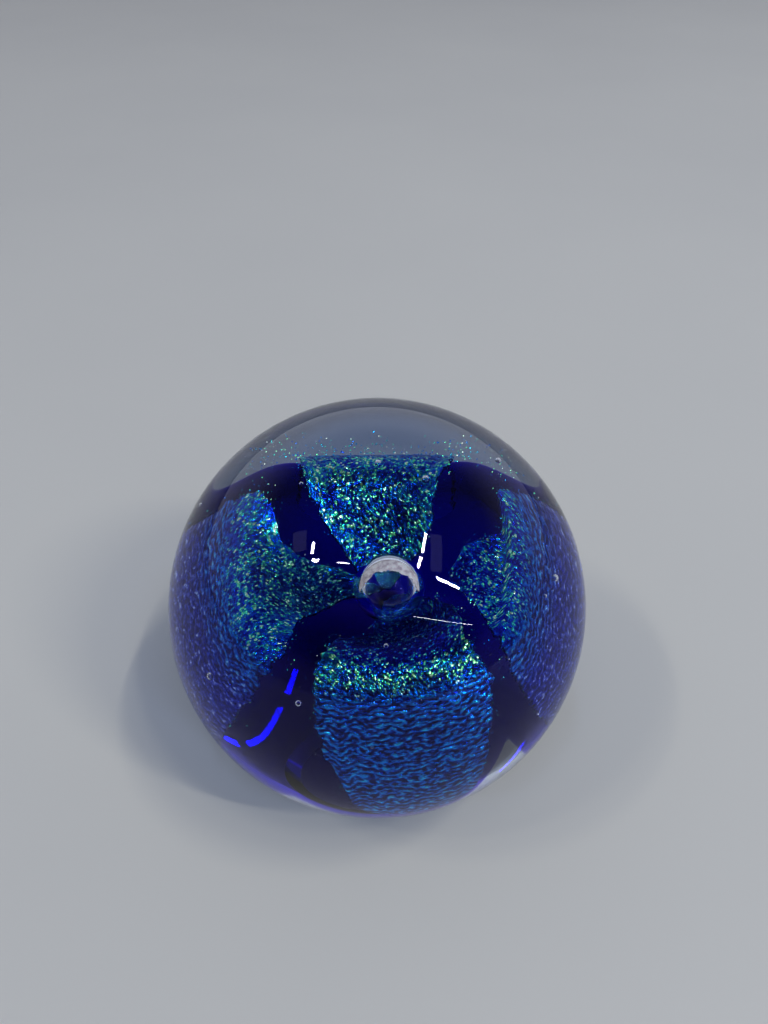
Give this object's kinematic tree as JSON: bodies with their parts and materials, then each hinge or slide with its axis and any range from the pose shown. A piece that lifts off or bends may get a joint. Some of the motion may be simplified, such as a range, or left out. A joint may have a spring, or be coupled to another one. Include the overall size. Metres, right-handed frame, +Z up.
{
  "type": "glass paperweight",
  "caption": "Round clear glass paperweight with a flat ground base and a cobalt and dichroic flower inside.",
  "frame": {"origin": "centre of the flat ground base, where the paperweight stands", "axes": "+Z up through the ball's centre, -Y towards the front petal, +X towards the right petal"},
  "size_m": [0.075, 0.075, 0.0724],
  "materials": {
    "crystal_glass": "clear lead-free crystal, fire polished ball with a ground and polished base",
    "cobalt_glass": "transparent deep cobalt blue glass",
    "dichroic_glass": "crinkled metal-oxide coated glass that turns from green through blue to violet"
  },
  "bodies": {
    "root": {"clear_casing": "crystal_glass", "clear_heart": "crystal_glass", "cobalt_cap": "cobalt_glass", "dichroic_petal_front": "dichroic_glass", "dichroic_petal_right": "dichroic_glass", "dichroic_petal_back": "dichroic_glass", "dichroic_petal_left": "dichroic_glass"}
  },
  "joints": []
}
